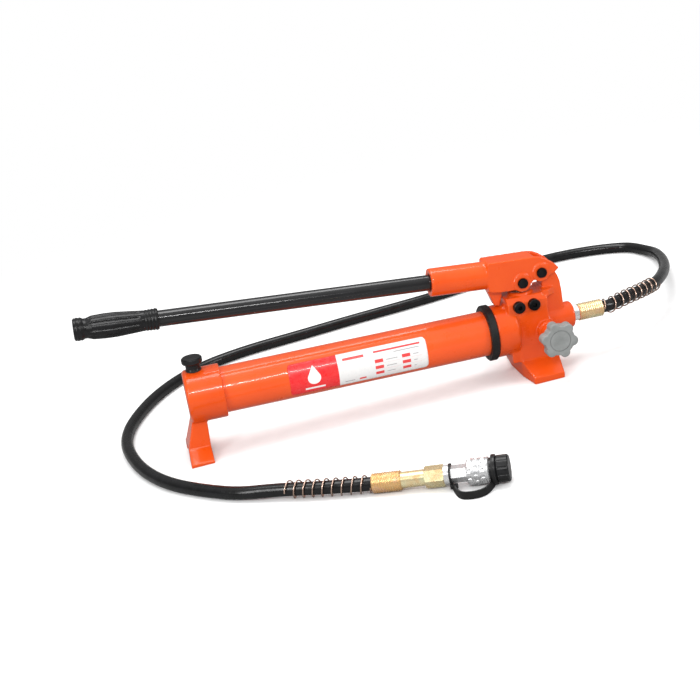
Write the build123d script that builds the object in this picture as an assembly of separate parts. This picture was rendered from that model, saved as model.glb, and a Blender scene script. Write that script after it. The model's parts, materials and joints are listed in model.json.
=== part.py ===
from build123d import *
import os
from math import cos, pi, radians, sin

# A hand-operated hydraulic pump with its hose and quick coupler, in millimetres.
#
# Two frames are used.
#   floor frame: +Z up, the floor is Z = 0, the origin is under the middle of the pump head's foot.
#   pump frame:  the floor frame turned by TANK_TILT, so that X runs along the tank's centre line
#                towards the hose port, -Y is the release knob's side, and the origin lies on the
#                centre line above the floor frame's origin.
# The hose and the coupler lie on the floor and are drawn in the floor frame; the rest is drawn in
# the pump frame and placed by PUMP_PLACE.

TANK_TILT = 2.0
AXIS_HEIGHT = 62.0
PUMP_PLACE = Pos(0, 0, AXIS_HEIGHT) * Rot(0, TANK_TILT, 0)

PLUS_X = (1, 0, 0)
MINUS_Y = (0, -1, 0)
PLUS_Z = (0, 0, 1)
FAR = 600.0
BELOW_FLOOR = -95.0

# Fits between separate pieces, on the radius.
RUNNING_GAP = 0.05
SLIP_GAP = 0.15

# Reservoir: a steel tube held between the head and the rear cover by one long tie rod.
TUBE_R = 30.0
TUBE_BORE_R = 27.5
TUBE_LEFT = -436.0
TUBE_RIGHT = -36.0
SEAL_THICK = 2.5
COVER_LEFT = -466.0
COVER_RIGHT = -418.0
COVER_R = 35.0
COVER_EDGE_R = 5.0
COVER_CAVITY_LEFT = -460.0
ROD_R = 5.0
ROD_BOSS_R = 14.0
ROD_BOSS_RIGHT = -448.0
NUT_RECESS_R = 11.5
NUT_SEAT_X = -456.0
WASHER_THICK = 1.5
NUT_THICK = 6.5
NUT_FLATS = 17.0
ROD_HEAD_END = -22.0
LEG_TOP = -10.0
LEG_NECK_LEFT = -466.0
LEG_NECK_RIGHT = -446.0
LEG_NECK_Z = -32.0
LEG_NECK_HALF = 15.0
LEG_CREASE_LEFT = -476.5
LEG_CREASE_RIGHT = -447.6
LEG_CREASE_Z = -63.5
LEG_CREASE_HALF = 22.0
LEG_PAD_LEFT = -479.0
LEG_PAD_RIGHT = -447.3
LEG_PAD_HALF = 47.0
LEG_PAD_Z = -74.0
LEG_ARCH = ((25.0, BELOW_FLOOR), (17.0, -73.0), (8.0, -67.0))

# Filler and breather plug on top of the rear cover.
FILLER_X = -450.0
FILLER_R = 8.0
PLUG_SEAT_Z = 35.0
PLUG_NECK_R = 9.5
PLUG_HEAD_R = 13.5
PLUG_HEAD_Z = 43.0
PLUG_TOP_Z = 52.0
PLUG_SHANK_END = 21.0
PLUG_SEAL_THICK = 1.6
PLUG_SEAL_R = 10.2
PLUG_SEAL_SINK = 0.9
PLUG_VENT_R = 1.5
PLUG_SIDE_VENT_R = 1.0

# Rubber ring round the tube against the head.
RING_LEFT = -65.0
RING_RIGHT = -54.5
RING_R = 37.5

# Name label round the front of the tube, angles counted from the top towards -Y.
LABEL_LEFT = -334.0
LABEL_RIGHT = -152.0
LABEL_FROM = 43.5
LABEL_TO = 131.5
LABEL_THICK = 0.2

# Pump head casting.
SKIRT_LEFT = -54.5
SKIRT_RIGHT = -23.0
SKIRT_R = 35.0
STOP_FACE_X = -33.5
BODY_LEFT = -36.0
BODY_RIGHT = 19.0
BODY_HALF = 24.0
BODY_BOTTOM = -42.0
BODY_SHOULDER = 40.0
BODY_TOP = 47.0
PLUNGER_X = -10.8
BOSS_R = 17.0
BOSS_TOP = 50.5
WEB_BOTTOM = 20.0
WEB_TOP = 48.5
WEB_HALF = 12.0
WEB_BACK = ((-41.0, 20.0), (-41.0, 35.0), (-37.5, 36.5), (-32.0, 42.0), (-28.0, 48.5))
EAR_HALF = 11.5
EAR_ROOT_HALF = 21.0
EAR_ROOT_SHOULDER = 22.0
EAR_LEFT = 17.5
EAR_SIDE_BOTTOM = 10.0
EAR_BACK = ((34.0, 75.0), (40.0, 63.2), (42.6, 54.6), (43.9, 41.0), (44.4, 27.0), (45.2, 10.0))
EAR_ROOT_LEFT = 14.0
EAR_ROOT_RIGHT = 33.0
EAR_ROOT_BOTTOM = 40.0
EAR_ROOT_TOP = 50.0
EAR_EYE_R = 12.4
FULCRUM_X = 15.6
FULCRUM_Z = 73.8
PORT_Z = 1.8
PORT_R = 18.0
PORT_FACE_X = 58.4
PORT_LEFT = 10.0
PORT_BORE_R = 6.6
PORT_BORE_END = 44.0
RELEASE_X = 13.5
RELEASE_Z = -3.5
RELEASE_BOSS_R = 13.0
RELEASE_FACE_Y = -31.0
RELEASE_NECK_R = 10.8
RELEASE_NECK_Y = -43.0
FOOT_TOP = -20.0
FOOT_HALF = 59.0
FOOT_EDGE_Z = -53.5
FOOT_ROOT_HALF = 26.0
FOOT_ROOT_Z = -40.0
FOOT_LEFT = -25.0
FOOT_RIGHT = 27.0
FOOT_TIP_LEFT = -20.5
FOOT_TIP_RIGHT = 21.0
FOOT_WAIST_HALF = 24.0

# Plunger, its bush and seals.
PLUNGER_R = 6.0
PLUNGER_END = 3.0
CHAMBER_R = 6.5
CHAMBER_BOTTOM = 0.0
PACKING_R = 8.5
PACKING_BOTTOM = 36.0
BUSH_R = 10.0
BUSH_BOTTOM = 40.0
WIPER_R = 8.0
WIPER_BOTTOM = 47.5
EYE_HALF_X = 12.3
EYE_HALF_Y = 8.0
EYE_HALF_Z = 9.6
PIN_R = 6.0
PLUNGER_PIN_X = -11.2
PLUNGER_PIN_Z = 64.8
SLOT_HALF_LENGTH = 8.75
SLOT_HALF_HEIGHT = 6.4

# Valves: two plugged pockets on the front of the head.
VALVE_X = (-21.5, -1.0)
VALVE_Z = 35.4
VALVE_FACE_Y = -24.0
VALVE_HEAD_Y = -31.0
VALVE_HEAD_R = 7.75
VALVE_HEAD_CHAMFER = 0.8
VALVE_SHANK_R = 5.0
VALVE_SHANK_Y = -18.5
VALVE_POCKET_R = 4.0
VALVE_SEAT_Y = -9.0
VALVE_SEAT_R = 1.5
SEAT_HOLE_END = -6.5
BALL_R = 2.5
SOCKET_FLATS = 6.0
SOCKET_DEPTH = 5.0
VALVE_SPRING_R = 1.9
VALVE_WIRE_R = 0.35
PASSAGE_R = 1.5
GALLERY_R = 2.5

# Suction line inside the tank.
SUCTION_Z = -14.0
SUCTION_R = 4.0
SUCTION_BORE_R = 2.6
SUCTION_LEFT = -118.0
SUCTION_SOCKET_END = -28.0
SUCTION_BALL_R = 3.2
SUCTION_POCKET_R = 3.6
SUCTION_POCKET_END = -20.0
FILTER_R = 7.5
FILTER_LEFT = -142.0
FILTER_RIGHT = -108.0
FILTER_WALL = 1.2

# Release valve and its hand knob, along -Y.
SPINDLE_R = 5.0
SPINDLE_TIP_Y = -13.0
RELEASE_BORE_END = -8.5
RELEASE_SEAL_R = 8.0
RELEASE_SEAL_Y = -24.0
RELEASE_SEAL_THICK = 2.5
RELEASE_TRAVEL = 1.5
GLAND_R = 8.8
GLAND_INNER_Y = RELEASE_SEAL_Y - RELEASE_SEAL_THICK - RELEASE_TRAVEL - 0.6
GLAND_HEAD_THICK = 3.0
GLAND_FLATS = 17.0
KNOB_BACK_Y = -62.0
KNOB_FACE_Y = -75.0
KNOB_HUB_Y = -47.0
KNOB_HUB_R = 9.0
KNOB_LOBES = 6
KNOB_LOBE_R = 6.8
KNOB_TIP_R = 24.8
KNOB_CORE_R = 20.0
KNOB_FIRST_LOBE = 48.0
KNOB_RING_R = 14.2
KNOB_PIN_Y = -54.0
KNOB_PIN_R = 1.5

# Handle. It is drawn along its own centre line, which starts at the bracket's end wall and climbs
# HANDLE_TILT towards the grip.
HANDLE_TILT = 4.19
HANDLE_START = (-58.0, 0.0, 79.7)
SOCKET_LENGTH = 73.0
SOCKET_R = 18.5
HANDLE_TUBE_R = 10.4
HANDLE_TUBE_BORE_R = 8.2
HANDLE_TUBE_START = 14.0
SOCKET_HOLE_R = 10.5
SOCKET_MOUTH_R = 12.6
SOCKET_MOUTH_DEPTH = 3.0
GRIP_START = 423.0
GRIP_END = 528.0
GRIP_RIBS = 3
GRIP_RIB_PITCH = 4.0
GRIP_RIB_R = 13.8
GRIP_VALLEY_R = 12.8
GRIP_SWELL = (
    (12.8, 16), (14.2, 30), (15.9, 52), (16.1, 68), (14.9, 84), (12.6, 90), (12.6, 93), (14.0, 94),
    (14.2, 97), (13.0, 98.5), (14.2, 100),
)
HANDLE_TUBE_END = 522.0
SET_SCREW_AT = 52.0
SET_SCREW_R = 4.0
SET_SCREW_FLATS = 4.0

# Bracket that carries the socket and both pins.
BRACKET_HALF = 18.0
FORK_HALF = 12.6
BRACKET_BOSS_R = 12.0
BRACKET_BOSS_PROUD = 2.0
BRACKET_WALL = 9.0
BRACKET_ROOF = 6.0
BRACKET_OUTLINE = (
    (-53.5, 99.4), (-55.6, 97.0), (-56.9, 62.0), (-54.0, 59.6), (-42.0, 57.4), (-12.0, 55.9), (-4.8, 56.5),
    (1.4, 61.5), (4.7, 65.1), (14.4, 64.5), (26.0, 66.3), (34.8, 70.1), (40.6, 75.3), (34.0, 83.2),
    (24.7, 90.3), (16.7, 94.4), (8.3, 96.1),
)
BRACKET_LEFT = -56.9
BRACKET_TOP_LEFT = 99.4
BRACKET_TOP_RIGHT = 96.0
FORK_OPEN_X = 10.0
FORK_REACH = 130.0
HOOK_HALF = 7.0
HOOK_OUTLINE = ((-56.5, 62.0), (-56.0, 59.7), (-48.2, 37.5), (-41.3, 35.7), (-36.6, 51.1), (-40.0, 62.0))
HOOK_ROOT_OUTLINE = ((-56.9, 62.0), (-56.0, 59.7), (-36.6, 58.0), (-40.0, 66.0), (-47.0, 70.0))
PIN_PLACES = ((FULCRUM_X, FULCRUM_Z), (PLUNGER_PIN_X, PLUNGER_PIN_Z))
PIN_HALF_LENGTH = 23.0
CLIP_AT = 20.9
CLIP_THICK = 1.2
CLIP_R = 6.8
PIN_GROOVE = 0.8
CLIP_MOUTH = 3.5

# Hose fittings, lengths along the hose.
NIPPLE_FLATS = 19.0
NIPPLE_HEX_LENGTH = 8.4
NIPPLE_THREAD_R = 6.55
FERRULE_R = 11.8
FERRULE_LENGTH = 34.5
FERRULE_FLOOR = 1.5
FERRULE_RIDGES = 12
RIDGE_DEPTH = 0.7
HOSE_R = 8.0
HOSE_BORE_R = 3.2
TAIL_R = 3.2
TAIL_BORE_R = 2.0
TAIL_SHORT = 3.0

# Hose centre line, from the pump's ferrule to the coupler's ferrule; its middle lies on the floor.
HOSE_LOW = HOSE_R + 0.15
HOSE_BEND = (
    (143, 17, 59.2),
    (200, 60, 51),
    (236, 107, 42.5),
    (273, 175, 31),
    (303, 256, 19),
    (313, 320, 10),
    (287, 375, 8.4),
    (186, 406, HOSE_LOW),
    (80, 389, HOSE_LOW),
    (-32, 360, HOSE_LOW),
    (-233, 336, HOSE_LOW),
    (-401, 307, HOSE_LOW),
    (-485, 246, HOSE_LOW),
    (-544, 138, HOSE_LOW),
    (-555, 43, HOSE_LOW),
    (-522, -71, HOSE_LOW),
    (-449, -156, 8.6),
    (-376, -198, 11.5),
    (-330, -221, 12.0),
)

# Guard springs over the hose.
GUARD_R = 10.0
GUARD_WIRE_R = 0.9
GUARD_TURNS = 9
GUARD_STEPS = 10
PUMP_GUARD_LENGTH = 126.0
COUPLER_GUARD_LENGTH = 102.0

# Quick coupler, stations along its own centre line from the start of its ferrule.
COUPLER_START = (-285.2, -238.9, 12.0)
COUPLER_HEADING = -21.9
COUPLER_CLIMB = 2.1
SLEEVE_R = 9.5
SLEEVE_END = 62.0
ADAPTER_END = 84.2
ADAPTER_FLATS = 22.0
ADAPTER_CHAMFER = 1.1
SHOULDER_END = 90.0
SHOULDER_R = 11.4
TETHER_RING_END = 92.5
BODY_HEX_FLATS = 17.6
BODY_HEX_END = 110.0
COLLAR_START = 110.4
COLLAR_END = 136.0
COLLAR_R = 15.25
COLLAR_THREAD_R = 11.6
COLLAR_LIP_END = 114.0
COLLAR_LIP_R = 8.6
NOSE_R = 8.5
NOSE_END = 127.0
NOSE_FLANGE_R = 11.4
NOSE_FLANGE_START = 114.1
NOSE_FLANGE_END = 117.0
NOSE_BORE_R = 5.0
NOSE_BORE_START = 96.0
POPPET_R = 2.6
POPPET_HEAD_R = 4.9
POPPET_START = 100.0
POPPET_HEAD_START = 114.0
POPPET_HEAD_END = 120.0
POPPET_TIP = 124.5
POPPET_SPRING_R = 4.0
POPPET_WIRE_R = 0.6
POPPET_SPRING_TURNS = 5
CAP_NECK_START = 128.5
CAP_FLANGE_START = 141.0
CAP_FLANGE_END = 144.0
CAP_END = 158.0
CAP_FLANGE_R = 17.0
CAP_BARREL_R = 15.5
CAP_NECK_R = 11.5
CAP_NECK_BORE_R = 8.5
CAP_NECK_FLOOR = 130.5
CAP_WAIST_R = 13.6
CAP_FLUTES = 12
CAP_FLUTE_R = 2.6
CAP_FLUTE_DEPTH = 0.7
TETHER_HALF_WIDTH = 4.6
TETHER_THICK = 2.0
TETHER_EYE_R = 12.5
TETHER_BEND = (
    (91.3, 1), (93.5, 10), (98, 22), (105, 32), (115, 34), (129, 29), (136, 18), (139.8, 5),
)
TETHER_STUB_R = 3.2
TETHER_STUB_END = 98.5
TETHER_STUB_OUT = 9.2
TETHER_STUB_DROP = 10.6


def line_between(start, end):
    """Direction and length of the straight line from start to end."""
    start, end = Vector(start), Vector(end)
    return (end - start).normalized(), (end - start).length


def turned(outline, origin=(0, 0, 0), along=PLUS_Z):
    """Solid of revolution from (radius, station) points, stations counted from origin along a line."""
    face = Plane.XZ * make_face(Polyline(*outline, close=True))
    return Plane(origin=origin, z_dir=along) * revolve(face, Axis.Z)


def rod(radius, start, end):
    """Round bar between two points."""
    along, length = line_between(start, end)
    return turned([(0, 0), (radius, 0), (radius, length), (0, length)], start, along)


def ring(outer, inner, start, end):
    """Round tube between two points."""
    along, length = line_between(start, end)
    return turned([(inner, 0), (outer, 0), (outer, length), (inner, length)], start, along)


def hex_bar(flats, start, end, turn=0.0):
    """Hexagon bar between two points, by its width across flats."""
    along, length = line_between(start, end)
    plane = Plane(origin=start, z_dir=along)
    outline = RegularPolygon(flats / 2, 6, major_radius=False, rotation=turn)
    return extrude(plane * outline, length)


def side_plate(points, y_from, y_to):
    """Flat plate outlined by (x, z) points, between two Y values."""
    face = Plane.XZ * make_face(Polyline(*points, close=True))
    return Pos(0, y_to, 0) * extrude(face, y_to - y_from)


def end_plate(points, x_from, x_to):
    """Flat plate outlined by (y, z) points, between two X values."""
    face = Plane.YZ * make_face(Polyline(*points, close=True))
    return Pos(x_from, 0, 0) * extrude(face, x_to - x_from)


def floor_plate(points, z_from, z_to):
    """Flat plate outlined by (x, y) points, between two Z values."""
    return Pos(0, 0, z_from) * extrude(make_face(Polyline(*points, close=True)), z_to - z_from)


def mirrored_outline(points):
    """Closed outline from the points of its positive half and their mirror images."""
    return list(points) + [(-across, up) for across, up in reversed(points)]


def coil(radius, wire, start, end, turns):
    """Straight compression spring between two points."""
    along, length = line_between(start, end)
    path = Helix(pitch=length / turns, height=length, radius=radius)
    section = Plane(origin=path @ 0, z_dir=path % 0) * Circle(wire)
    return Plane(origin=start, z_dir=along) * sweep(section, path=path, is_frenet=True)


def placed_in_pump(shape):
    """Pump-frame shape moved to the floor frame."""
    return PUMP_PLACE * shape


def standing_on_floor(shape):
    """Pump-frame casting moved to the floor frame, with its feet cut flat on the floor."""
    return placed_in_pump(shape) - Pos(0, 0, -FAR / 2) * Box(3 * FAR, FAR, FAR)


def at_release(y):
    """Point on the release valve's centre line."""
    return (RELEASE_X, y, RELEASE_Z)


# ---- reservoir ----

def reservoir_tube():
    return ring(TUBE_R, TUBE_BORE_R, (TUBE_LEFT, 0, 0), (TUBE_RIGHT, 0, 0))


def front_tank_seal():
    return ring(TUBE_R, TUBE_BORE_R, (TUBE_RIGHT, 0, 0), (STOP_FACE_X, 0, 0))


def rear_tank_seal():
    return ring(TUBE_R, TUBE_BORE_R, (TUBE_LEFT - SEAL_THICK, 0, 0), (TUBE_LEFT, 0, 0))


def cover_leg():
    front = [(LEG_NECK_LEFT, LEG_TOP), (LEG_NECK_RIGHT, LEG_TOP), (LEG_NECK_RIGHT, LEG_NECK_Z),
             (LEG_CREASE_RIGHT, LEG_CREASE_Z), (LEG_PAD_RIGHT, BELOW_FLOOR), (LEG_PAD_LEFT, BELOW_FLOOR),
             (LEG_CREASE_LEFT, LEG_CREASE_Z), (LEG_NECK_LEFT, LEG_NECK_Z)]
    side = mirrored_outline([(LEG_NECK_HALF, LEG_TOP), (LEG_NECK_HALF, LEG_NECK_Z),
                             (LEG_CREASE_HALF, LEG_CREASE_Z), (LEG_PAD_HALF, LEG_PAD_Z),
                             (LEG_PAD_HALF, BELOW_FLOOR), *LEG_ARCH])
    return side_plate(front, -FAR / 2, FAR / 2) & end_plate(side, -FAR, 0)


def rear_cover():
    shell = turned([(0, COVER_LEFT), (COVER_R, COVER_LEFT), (COVER_R, COVER_RIGHT), (0, COVER_RIGHT)],
                   along=PLUS_X)
    outer_edge = shell.edges().filter_by(GeomType.CIRCLE).sort_by(Axis.X)[0]
    shell = fillet(outer_edge, COVER_EDGE_R)
    shell += cover_leg()
    shell -= rod(TUBE_R + SLIP_GAP, (TUBE_LEFT - SEAL_THICK, 0, 0), (COVER_RIGHT, 0, 0))
    shell -= rod(TUBE_BORE_R, (COVER_CAVITY_LEFT, 0, 0), (TUBE_LEFT, 0, 0))
    shell += rod(ROD_BOSS_R, (COVER_CAVITY_LEFT - 1, 0, 0), (ROD_BOSS_RIGHT, 0, 0))
    shell -= rod(NUT_RECESS_R, (COVER_LEFT, 0, 0), (NUT_SEAT_X, 0, 0))
    shell -= rod(ROD_R + RUNNING_GAP, (COVER_LEFT, 0, 0), (ROD_BOSS_RIGHT, 0, 0))
    shell -= rod(FILLER_R, (FILLER_X, 0, PLUG_SHANK_END), (FILLER_X, 0, COVER_R + 1))
    seal_seat_z = PLUG_SEAT_Z - PLUG_SEAL_SINK
    shell -= rod(PLUG_SEAL_R + SLIP_GAP, (FILLER_X, 0, seal_seat_z), (FILLER_X, 0, COVER_R + 1))
    return standing_on_floor(shell)


def tie_rod():
    return rod(ROD_R, (COVER_LEFT + 1, 0, 0), (ROD_HEAD_END, 0, 0))


def tie_rod_washer():
    return ring(NUT_RECESS_R - 1, ROD_R, (NUT_SEAT_X - WASHER_THICK, 0, 0), (NUT_SEAT_X, 0, 0))


def tie_rod_nut():
    seat = NUT_SEAT_X - WASHER_THICK
    nut = hex_bar(NUT_FLATS, (seat - NUT_THICK, 0, 0), (seat, 0, 0))
    return nut - rod(ROD_R, (seat - NUT_THICK, 0, 0), (seat, 0, 0))


def retaining_ring():
    outline = [(TUBE_R, RING_LEFT), (RING_R - 1.5, RING_LEFT), (RING_R, RING_LEFT + 1.5),
               (RING_R, RING_RIGHT - 1.5), (RING_R - 1.5, RING_RIGHT), (TUBE_R, RING_RIGHT)]
    return turned(outline, along=PLUS_X)


def name_label():
    sleeve = ring(TUBE_R + LABEL_THICK, TUBE_R, (LABEL_LEFT, 0, 0), (LABEL_RIGHT, 0, 0))
    middle = radians((LABEL_FROM + LABEL_TO) / 2)
    half = radians((LABEL_TO - LABEL_FROM) / 2)
    reach = 3 * TUBE_R
    wedge = [(0, 0)]
    for angle in (middle - half, middle, middle + half):
        wedge.append((-reach * sin(angle), reach * cos(angle)))
    return sleeve & end_plate(wedge, LABEL_LEFT, LABEL_RIGHT)


# ---- filler and breather plug ----

def breather_plug():
    seal_top = PLUG_SEAT_Z - PLUG_SEAL_SINK + PLUG_SEAL_THICK
    vent_top = PLUG_HEAD_Z + 4
    side_vent_z = PLUG_HEAD_Z - 3
    outline = [(0, PLUG_SHANK_END), (FILLER_R - RUNNING_GAP, PLUG_SHANK_END),
               (FILLER_R - RUNNING_GAP, seal_top), (PLUG_SEAL_R, seal_top),
               (PLUG_NECK_R, seal_top + 2), (PLUG_NECK_R, PLUG_HEAD_Z),
               (PLUG_HEAD_R - 2.4, PLUG_HEAD_Z + 0.8), (PLUG_HEAD_R - 0.6, PLUG_HEAD_Z + 1.8),
               (PLUG_HEAD_R, PLUG_HEAD_Z + 3), (PLUG_HEAD_R, PLUG_TOP_Z - 1.4),
               (PLUG_HEAD_R - 1.4, PLUG_TOP_Z), (PLUG_HEAD_R - 3, PLUG_TOP_Z), (0, PLUG_TOP_Z - 1)]
    plug = turned(outline)
    plug -= rod(PLUG_VENT_R, (0, 0, PLUG_SHANK_END), (0, 0, vent_top))
    plug -= rod(PLUG_SIDE_VENT_R, (-PLUG_HEAD_R, 0, side_vent_z), (0, 0, side_vent_z))
    return Pos(FILLER_X, 0, 0) * plug


def breather_seal():
    seat_z = PLUG_SEAT_Z - PLUG_SEAL_SINK
    return ring(PLUG_SEAL_R, FILLER_R, (FILLER_X, 0, seat_z), (FILLER_X, 0, seat_z + PLUG_SEAL_THICK))


# ---- pump head ----

def head_skirt():
    outline = [(0, SKIRT_LEFT), (SKIRT_R, SKIRT_LEFT), (SKIRT_R, SKIRT_RIGHT - 4),
               (SKIRT_R - 4, SKIRT_RIGHT), (0, SKIRT_RIGHT)]
    return turned(outline, along=PLUS_X)


def head_body():
    section = mirrored_outline([(BODY_HALF, BODY_BOTTOM), (BODY_HALF, BODY_SHOULDER),
                                (BODY_HALF - 6, BODY_TOP)])
    body = end_plate(section, BODY_LEFT, BODY_RIGHT)
    boss = rod(BOSS_R, (PLUNGER_X, 0, EAR_ROOT_BOTTOM - 20), (PLUNGER_X, 0, BOSS_TOP))
    boss = fillet(boss.edges().filter_by(GeomType.CIRCLE).sort_by(Axis.Z)[-1], 2)
    web = (*WEB_BACK, (PLUNGER_X, WEB_TOP), (PLUNGER_X, WEB_BOTTOM))
    return body + boss + side_plate(web, -WEB_HALF, WEB_HALF)


def head_ear():
    root = floor_plate([(EAR_ROOT_LEFT, -EAR_ROOT_HALF), (EAR_ROOT_SHOULDER, -EAR_ROOT_HALF),
                        (EAR_ROOT_RIGHT, -EAR_HALF), (EAR_ROOT_RIGHT, EAR_HALF),
                        (EAR_ROOT_SHOULDER, EAR_ROOT_HALF), (EAR_ROOT_LEFT, EAR_ROOT_HALF)],
                       EAR_ROOT_BOTTOM, EAR_ROOT_TOP)
    eye_corner = EAR_EYE_R * sin(radians(45))
    plate = side_plate([(EAR_LEFT, EAR_SIDE_BOTTOM), (EAR_LEFT, FULCRUM_Z),
                        (FULCRUM_X + eye_corner, FULCRUM_Z + eye_corner), *EAR_BACK], -EAR_HALF, EAR_HALF)
    eye = rod(EAR_EYE_R, (FULCRUM_X, -EAR_HALF, FULCRUM_Z), (FULCRUM_X, EAR_HALF, FULCRUM_Z))
    return root + plate + eye


def head_bosses():
    port = rod(PORT_R, (PORT_LEFT, 0, PORT_Z), (PORT_FACE_X, 0, PORT_Z))
    port = fillet(port.edges().filter_by(GeomType.CIRCLE).sort_by(Axis.X)[-1], 3)
    release = rod(RELEASE_BOSS_R, (RELEASE_X, 0, RELEASE_Z), (RELEASE_X, RELEASE_FACE_Y, RELEASE_Z))
    release = fillet(release.edges().filter_by(GeomType.CIRCLE).sort_by(Axis.Y)[0], 2)
    release += rod(RELEASE_NECK_R, at_release(RELEASE_FACE_Y + 1), at_release(RELEASE_NECK_Y))
    return port + release


def head_foot():
    plan = [(FOOT_LEFT, -FOOT_WAIST_HALF), (FOOT_TIP_LEFT, -FOOT_HALF), (FOOT_TIP_RIGHT, -FOOT_HALF),
            (FOOT_RIGHT, -FOOT_WAIST_HALF), (FOOT_RIGHT, FOOT_WAIST_HALF), (FOOT_TIP_RIGHT, FOOT_HALF),
            (FOOT_TIP_LEFT, FOOT_HALF), (FOOT_LEFT, FOOT_WAIST_HALF)]
    side = mirrored_outline([(BODY_HALF, FOOT_TOP), (FOOT_ROOT_HALF, FOOT_ROOT_Z),
                             (FOOT_HALF, FOOT_EDGE_Z), (FOOT_HALF, BELOW_FLOOR)])
    return floor_plate(plan, BELOW_FLOOR, FOOT_TOP) & end_plate(side, -FOOT_HALF, FOOT_HALF)


def head_passages():
    """Drilled ways and pockets of the casting, each as (radius, start, end)."""
    discharge_x, relief_x = VALVE_X
    way_y = VALVE_SEAT_Y - 4
    relief_y = VALVE_SEAT_Y - 8
    ways = [
        (TUBE_R + SLIP_GAP, (SKIRT_LEFT, 0, 0), (STOP_FACE_X, 0, 0)),
        (ROD_R, (STOP_FACE_X, 0, 0), (ROD_HEAD_END, 0, 0)),
        (CHAMBER_R, (PLUNGER_X, 0, CHAMBER_BOTTOM), (PLUNGER_X, 0, PACKING_BOTTOM)),
        (PACKING_R, (PLUNGER_X, 0, PACKING_BOTTOM), (PLUNGER_X, 0, BUSH_BOTTOM)),
        (BUSH_R, (PLUNGER_X, 0, BUSH_BOTTOM), (PLUNGER_X, 0, BOSS_TOP + 1)),
        (PASSAGE_R, (discharge_x, SEAT_HOLE_END, VALVE_Z), (PLUNGER_X, 0, VALVE_Z - 6)),
        (PASSAGE_R, (discharge_x, way_y, VALVE_Z), (discharge_x, way_y, PORT_Z)),
        (PASSAGE_R, (discharge_x, way_y, PORT_Z), (relief_x, way_y, PORT_Z)),
        (PASSAGE_R, (relief_x, way_y, PORT_Z), (relief_x, 0, PORT_Z)),
        (PASSAGE_R, (relief_x, SEAT_HOLE_END, VALVE_Z), (relief_x, SEAT_HOLE_END, PORT_Z)),
        (PASSAGE_R, (relief_x, relief_y, VALVE_Z - 2), (STOP_FACE_X, relief_y, VALVE_Z - 17)),
        (GALLERY_R, (relief_x, 0, PORT_Z), (PORT_BORE_END, 0, PORT_Z)),
        (PORT_BORE_R, (PORT_BORE_END, 0, PORT_Z), (PORT_FACE_X + 1, 0, PORT_Z)),
        (SPINDLE_R + RUNNING_GAP, at_release(RELEASE_SEAL_Y), at_release(RELEASE_BORE_END)),
        (RELEASE_SEAL_R, at_release(GLAND_INNER_Y), at_release(RELEASE_SEAL_Y)),
        (GLAND_R, at_release(RELEASE_NECK_Y - 1), at_release(GLAND_INNER_Y)),
        (VALVE_SEAT_R, at_release(RELEASE_BORE_END), at_release(0)),
        (VALVE_SEAT_R, at_release(0), (RELEASE_X, 0, PORT_Z)),
        (PASSAGE_R, (STOP_FACE_X, SPINDLE_TIP_Y, RELEASE_Z), at_release(SPINDLE_TIP_Y)),
        (SUCTION_R, (STOP_FACE_X, 0, SUCTION_Z), (SUCTION_SOCKET_END, 0, SUCTION_Z)),
        (SUCTION_POCKET_R, (SUCTION_SOCKET_END, 0, SUCTION_Z), (SUCTION_POCKET_END, 0, SUCTION_Z)),
        (PASSAGE_R, (SUCTION_POCKET_END, 0, SUCTION_Z), (PLUNGER_X, 0, SUCTION_Z)),
        (PASSAGE_R, (PLUNGER_X, 0, SUCTION_Z), (PLUNGER_X, 0, CHAMBER_BOTTOM)),
        (PIN_R + RUNNING_GAP, (FULCRUM_X, -BODY_HALF, FULCRUM_Z), (FULCRUM_X, BODY_HALF, FULCRUM_Z)),
    ]
    for valve_x in VALVE_X:
        ways += [
            (VALVE_SHANK_R, (valve_x, VALVE_FACE_Y - 10, VALVE_Z), (valve_x, VALVE_SHANK_Y, VALVE_Z)),
            (VALVE_POCKET_R, (valve_x, VALVE_SHANK_Y, VALVE_Z), (valve_x, VALVE_SEAT_Y, VALVE_Z)),
            (VALVE_SEAT_R, (valve_x, VALVE_SEAT_Y, VALVE_Z), (valve_x, SEAT_HOLE_END, VALVE_Z)),
        ]
    return ways


def pump_head():
    casting = head_skirt() + head_body() + head_ear() + head_bosses() + head_foot()
    for radius, start, end in head_passages():
        casting -= rod(radius, start, end)
    return standing_on_floor(casting)


# ---- plunger group ----

def plunger_sleeve(outer, bottom, top):
    """Ring that the plunger slides in."""
    return ring(outer, PLUNGER_R + RUNNING_GAP, (PLUNGER_X, 0, bottom), (PLUNGER_X, 0, top))


def gland_bush():
    bush = plunger_sleeve(BUSH_R, BUSH_BOTTOM, BOSS_TOP)
    return bush - rod(WIPER_R, (PLUNGER_X, 0, WIPER_BOTTOM), (PLUNGER_X, 0, BOSS_TOP))


def plunger_packing():
    return plunger_sleeve(PACKING_R, PACKING_BOTTOM, BUSH_BOTTOM)


def wiper_ring():
    return plunger_sleeve(WIPER_R, WIPER_BOTTOM, BOSS_TOP)


def plunger():
    stem = rod(PLUNGER_R, (PLUNGER_X, 0, PLUNGER_END), (PLUNGER_X, 0, PLUNGER_PIN_Z - EYE_HALF_Z + 1))
    eye = Pos(PLUNGER_X, 0, PLUNGER_PIN_Z) * Box(2 * EYE_HALF_X, 2 * EYE_HALF_Y, 2 * EYE_HALF_Z)
    eye = fillet(eye.edges().filter_by(Axis.Y), 4)
    slot = Plane.XZ * SlotOverall(2 * SLOT_HALF_LENGTH, 2 * SLOT_HALF_HEIGHT)
    slot = extrude(slot, EYE_HALF_Y + 1, both=True)
    return stem + eye - Pos(PLUNGER_X, 0, PLUNGER_PIN_Z) * slot


# ---- valves ----

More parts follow.
